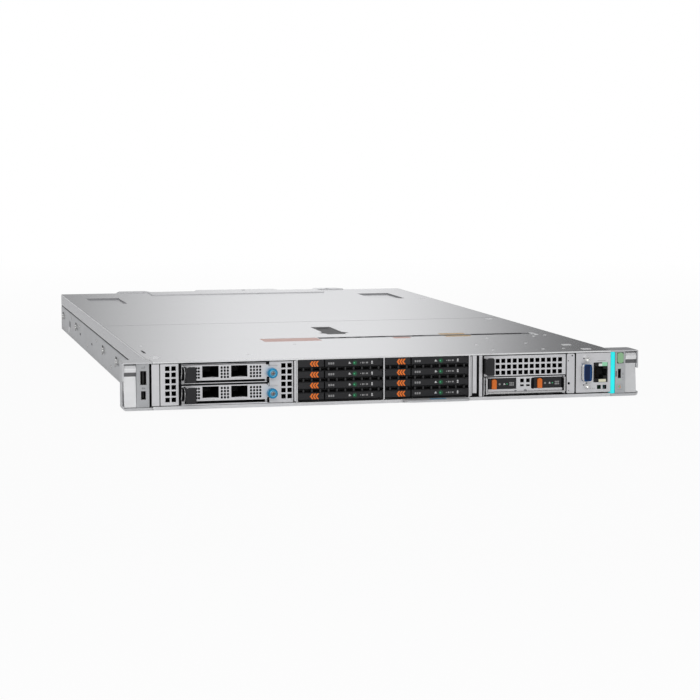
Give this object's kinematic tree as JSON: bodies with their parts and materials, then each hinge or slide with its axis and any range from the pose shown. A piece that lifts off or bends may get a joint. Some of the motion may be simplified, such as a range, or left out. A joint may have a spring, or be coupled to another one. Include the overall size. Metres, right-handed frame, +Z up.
{
  "type": "rack server",
  "caption": "One-unit rack server with front drive bays, card cages, boot drives and ports, latching ears, lift-off cover, fans and rear power supplies.",
  "frame": {"origin": "underside of the chassis, midway across, in the plane of the ears' rear faces, where they meet the rack posts", "axes": "+X right seen from the front, +Y to the rear, +Z up"},
  "size_m": [0.482, 0.839, 0.0438],
  "materials": {
    "zinc_steel": "zinc-coated sheet, satin",
    "ear_grey": "pale grey, satin",
    "ear_latch_grey": "pale grey, satin",
    "panel_grey": "grey, fine texture",
    "bar_cyan": "clear diffuser, cyan",
    "button_green": "pale green, lit",
    "port_metal": "plated",
    "tag_plastic": "pale grey",
    "latch_black": "black",
    "carrier_black": "charcoal, fine texture",
    "card_steel": "satin",
    "screw_blue": "blue, knurled",
    "latch_orange": "orange",
    "board_green": "solder mask",
    "sink_aluminium": "satin",
    "fan_black": "black",
    "supply_steel": "zinc-coated sheet"
  },
  "bodies": {
    "chassis": {"chassis_tray": "zinc_steel", "front_top_plate": "zinc_steel", "rack_ears": "ear_grey", "control_panels": "panel_grey", "light_bar": "bar_cyan", "front_panels": "zinc_steel", "port_connectors": "port_metal", "drive_cage": "zinc_steel", "boot_module_frame": "zinc_steel", "fan_frames": "fan_black", "circuit_boards": "board_green", "heat_sinks": "sink_aluminium", "memory_modules": "board_green"},
    "boot_carrier_left": {"boot_carrier_left": "carrier_black"},
    "boot_carrier_right": {"boot_carrier_right": "carrier_black"},
    "boot_latch_left": {"boot_latch_left": "latch_orange"},
    "boot_latch_right": {"boot_latch_right": "latch_orange"},
    "card_screw_lower": {"card_screw_lower": "screw_blue"},
    "card_screw_upper": {"card_screw_upper": "screw_blue"},
    "cover_latch": {"cover_latch": "latch_black"},
    "drive_1": {"drive_1": "carrier_black"},
    "drive_2": {"drive_2": "carrier_black"},
    "drive_3": {"drive_3": "carrier_black"},
    "drive_4": {"drive_4": "carrier_black"},
    "drive_5": {"drive_5": "carrier_black"},
    "drive_6": {"drive_6": "carrier_black"},
    "drive_7": {"drive_7": "carrier_black"},
    "drive_8": {"drive_8": "carrier_black"},
    "drive_button_1": {"drive_button_1": "carrier_black"},
    "drive_button_2": {"drive_button_2": "carrier_black"},
    "drive_button_3": {"drive_button_3": "carrier_black"},
    "drive_button_4": {"drive_button_4": "carrier_black"},
    "drive_button_5": {"drive_button_5": "carrier_black"},
    "drive_button_6": {"drive_button_6": "carrier_black"},
    "drive_button_7": {"drive_button_7": "carrier_black"},
    "drive_button_8": {"drive_button_8": "carrier_black"},
    "drive_handle_1": {"drive_handle_1": "carrier_black"},
    "drive_handle_2": {"drive_handle_2": "carrier_black"},
    "drive_handle_3": {"drive_handle_3": "carrier_black"},
    "drive_handle_4": {"drive_handle_4": "carrier_black"},
    "drive_handle_5": {"drive_handle_5": "carrier_black"},
    "drive_handle_6": {"drive_handle_6": "carrier_black"},
    "drive_handle_7": {"drive_handle_7": "carrier_black"},
    "drive_handle_8": {"drive_handle_8": "carrier_black"},
    "ear_latch_left": {"ear_latch_left": "ear_latch_grey"},
    "ear_latch_right": {"ear_latch_right": "ear_latch_grey"},
    "fan_rotor_1": {"fan_rotor_1": "fan_black"},
    "fan_rotor_2": {"fan_rotor_2": "fan_black"},
    "fan_rotor_3": {"fan_rotor_3": "fan_black"},
    "fan_rotor_4": {"fan_rotor_4": "fan_black"},
    "fan_rotor_5": {"fan_rotor_5": "fan_black"},
    "fan_rotor_6": {"fan_rotor_6": "fan_black"},
    "fan_rotor_7": {"fan_rotor_7": "fan_black"},
    "info_tag": {"info_tag": "tag_plastic"},
    "network_card_lower": {"network_card_lower": "card_steel"},
    "network_card_upper": {"network_card_upper": "card_steel"},
    "power_button": {"power_button": "button_green"},
    "power_supply_left": {"power_supply_left": "supply_steel"},
    "power_supply_right": {"power_supply_right": "supply_steel"},
    "rear_cover": {"rear_cover": "zinc_steel"}
  },
  "joints": [
    {"name": "cover_lift", "type": "slide", "parent": "chassis", "child": "rear_cover", "axis": [0, 0, 1], "range_m": [0, 0.15]},
    {"name": "cover_latch_turn", "type": "hinge", "parent": "rear_cover", "child": "cover_latch", "pos_m": [0.002, 0.1922, 0.0403], "axis": [1, 0, 0], "range_deg": [0, 90]},
    {"name": "tag_pull", "type": "slide", "parent": "chassis", "child": "info_tag", "axis": [0, -1, 0], "range_m": [0, 0.06]},
    {"name": "drive_1_pull", "type": "slide", "parent": "chassis", "child": "drive_1", "axis": [0, -1, 0], "range_m": [0, 0.125]},
    {"name": "drive_handle_1_swing", "type": "hinge", "parent": "drive_1", "child": "drive_handle_1", "pos_m": [-0.0066, -0.0246, 0.00835], "axis": [0, 0, 1], "range_deg": [0, 60]},
    {"name": "drive_button_1_press", "type": "slide", "parent": "drive_1", "child": "drive_button_1", "axis": [0, 1, 0], "range_m": [0, 0.0014], "stiffness_N_per_m": 400},
    {"name": "drive_2_pull", "type": "slide", "parent": "chassis", "child": "drive_2", "axis": [0, -1, 0], "range_m": [0, 0.125]},
    {"name": "drive_handle_2_swing", "type": "hinge", "parent": "drive_2", "child": "drive_handle_2", "pos_m": [-0.0066, -0.0246, 0.01815], "axis": [0, 0, 1], "range_deg": [0, 60]},
    {"name": "drive_button_2_press", "type": "slide", "parent": "drive_2", "child": "drive_button_2", "axis": [0, 1, 0], "range_m": [0, 0.0014], "stiffness_N_per_m": 400},
    {"name": "drive_3_pull", "type": "slide", "parent": "chassis", "child": "drive_3", "axis": [0, -1, 0], "range_m": [0, 0.125]},
    {"name": "drive_handle_3_swing", "type": "hinge", "parent": "drive_3", "child": "drive_handle_3", "pos_m": [-0.0066, -0.0246, 0.02795], "axis": [0, 0, 1], "range_deg": [0, 60]},
    {"name": "drive_button_3_press", "type": "slide", "parent": "drive_3", "child": "drive_button_3", "axis": [0, 1, 0], "range_m": [0, 0.0014], "stiffness_N_per_m": 400},
    {"name": "drive_4_pull", "type": "slide", "parent": "chassis", "child": "drive_4", "axis": [0, -1, 0], "range_m": [0, 0.125]},
    {"name": "drive_handle_4_swing", "type": "hinge", "parent": "drive_4", "child": "drive_handle_4", "pos_m": [-0.0066, -0.0246, 0.03775], "axis": [0, 0, 1], "range_deg": [0, 60]},
    {"name": "drive_button_4_press", "type": "slide", "parent": "drive_4", "child": "drive_button_4", "axis": [0, 1, 0], "range_m": [0, 0.0014], "stiffness_N_per_m": 400},
    {"name": "drive_5_pull", "type": "slide", "parent": "chassis", "child": "drive_5", "axis": [0, -1, 0], "range_m": [0, 0.125]},
    {"name": "drive_handle_5_swing", "type": "hinge", "parent": "drive_5", "child": "drive_handle_5", "pos_m": [0.074, -0.0246, 0.00835], "axis": [0, 0, 1], "range_deg": [0, 60]},
    {"name": "drive_button_5_press", "type": "slide", "parent": "drive_5", "child": "drive_button_5", "axis": [0, 1, 0], "range_m": [0, 0.0014], "stiffness_N_per_m": 400},
    {"name": "drive_6_pull", "type": "slide", "parent": "chassis", "child": "drive_6", "axis": [0, -1, 0], "range_m": [0, 0.125]},
    {"name": "drive_handle_6_swing", "type": "hinge", "parent": "drive_6", "child": "drive_handle_6", "pos_m": [0.074, -0.0246, 0.01815], "axis": [0, 0, 1], "range_deg": [0, 60]},
    {"name": "drive_button_6_press", "type": "slide", "parent": "drive_6", "child": "drive_button_6", "axis": [0, 1, 0], "range_m": [0, 0.0014], "stiffness_N_per_m": 400},
    {"name": "drive_7_pull", "type": "slide", "parent": "chassis", "child": "drive_7", "axis": [0, -1, 0], "range_m": [0, 0.125]},
    {"name": "drive_handle_7_swing", "type": "hinge", "parent": "drive_7", "child": "drive_handle_7", "pos_m": [0.074, -0.0246, 0.02795], "axis": [0, 0, 1], "range_deg": [0, 60]},
    {"name": "drive_button_7_press", "type": "slide", "parent": "drive_7", "child": "drive_button_7", "axis": [0, 1, 0], "range_m": [0, 0.0014], "stiffness_N_per_m": 400},
    {"name": "drive_8_pull", "type": "slide", "parent": "chassis", "child": "drive_8", "axis": [0, -1, 0], "range_m": [0, 0.125]},
    {"name": "drive_handle_8_swing", "type": "hinge", "parent": "drive_8", "child": "drive_handle_8", "pos_m": [0.074, -0.0246, 0.03775], "axis": [0, 0, 1], "range_deg": [0, 60]},
    {"name": "drive_button_8_press", "type": "slide", "parent": "drive_8", "child": "drive_button_8", "axis": [0, 1, 0], "range_m": [0, 0.0014], "stiffness_N_per_m": 400},
    {"name": "network_card_lower_pull", "type": "slide", "parent": "chassis", "child": "network_card_lower", "axis": [0, -1, 0], "range_m": [0, 0.12]},
    {"name": "card_screw_lower_turn", "type": "hinge", "parent": "network_card_lower", "child": "card_screw_lower", "pos_m": [-0.1071, -0.0254, 0.01245], "axis": [0, -1, 0], "continuous": true},
    {"name": "network_card_upper_pull", "type": "slide", "parent": "chassis", "child": "network_card_upper", "axis": [0, -1, 0], "range_m": [0, 0.12]},
    {"name": "card_screw_upper_turn", "type": "hinge", "parent": "network_card_upper", "child": "card_screw_upper", "pos_m": [-0.1071, -0.0254, 0.03075], "axis": [0, -1, 0], "continuous": true},
    {"name": "boot_carrier_left_pull", "type": "slide", "parent": "chassis", "child": "boot_carrier_left", "axis": [0, -1, 0], "range_m": [0, 0.085]},
    {"name": "boot_latch_left_press", "type": "slide", "parent": "boot_carrier_left", "child": "boot_latch_left", "axis": [0, 1, 0], "range_m": [0, 0.0016], "stiffness_N_per_m": 400},
    {"name": "boot_carrier_right_pull", "type": "slide", "parent": "chassis", "child": "boot_carrier_right", "axis": [0, -1, 0], "range_m": [0, 0.085]},
    {"name": "boot_latch_right_press", "type": "slide", "parent": "boot_carrier_right", "child": "boot_latch_right", "axis": [0, 1, 0], "range_m": [0, 0.0016], "stiffness_N_per_m": 400},
    {"name": "power_button_press", "type": "slide", "parent": "chassis", "child": "power_button", "axis": [0, 1, 0], "range_m": [0, 0.0008], "stiffness_N_per_m": 400},
    {"name": "ear_latch_left_pull", "type": "hinge", "parent": "chassis", "child": "ear_latch_left", "pos_m": [-0.2342, -0.0184, 0.033], "axis": [-1, 0, 0], "range_deg": [0, 20]},
    {"name": "power_supply_left_pull", "type": "slide", "parent": "chassis", "child": "power_supply_left", "axis": [0, 1, 0], "range_m": [0, 0.19]},
    {"name": "ear_latch_right_pull", "type": "hinge", "parent": "chassis", "child": "ear_latch_right", "pos_m": [0.2342, -0.0184, 0.033], "axis": [-1, 0, 0], "range_deg": [0, 20]},
    {"name": "power_supply_right_pull", "type": "slide", "parent": "chassis", "child": "power_supply_right", "axis": [0, 1, 0], "range_m": [0, 0.19]},
    {"name": "fan_rotor_1_spin", "type": "hinge", "parent": "chassis", "child": "fan_rotor_1", "pos_m": [-0.174, 0.302, 0.0215], "axis": [0, 1, 0], "continuous": true},
    {"name": "fan_rotor_2_spin", "type": "hinge", "parent": "chassis", "child": "fan_rotor_2", "pos_m": [-0.116, 0.302, 0.0215], "axis": [0, 1, 0], "continuous": true},
    {"name": "fan_rotor_3_spin", "type": "hinge", "parent": "chassis", "child": "fan_rotor_3", "pos_m": [-0.058, 0.302, 0.0215], "axis": [0, 1, 0], "continuous": true},
    {"name": "fan_rotor_4_spin", "type": "hinge", "parent": "chassis", "child": "fan_rotor_4", "pos_m": [0, 0.302, 0.0215], "axis": [0, 1, 0], "continuous": true},
    {"name": "fan_rotor_5_spin", "type": "hinge", "parent": "chassis", "child": "fan_rotor_5", "pos_m": [0.058, 0.302, 0.0215], "axis": [0, 1, 0], "continuous": true},
    {"name": "fan_rotor_6_spin", "type": "hinge", "parent": "chassis", "child": "fan_rotor_6", "pos_m": [0.116, 0.302, 0.0215], "axis": [0, 1, 0], "continuous": true},
    {"name": "fan_rotor_7_spin", "type": "hinge", "parent": "chassis", "child": "fan_rotor_7", "pos_m": [0.174, 0.302, 0.0215], "axis": [0, 1, 0], "continuous": true}
  ]
}
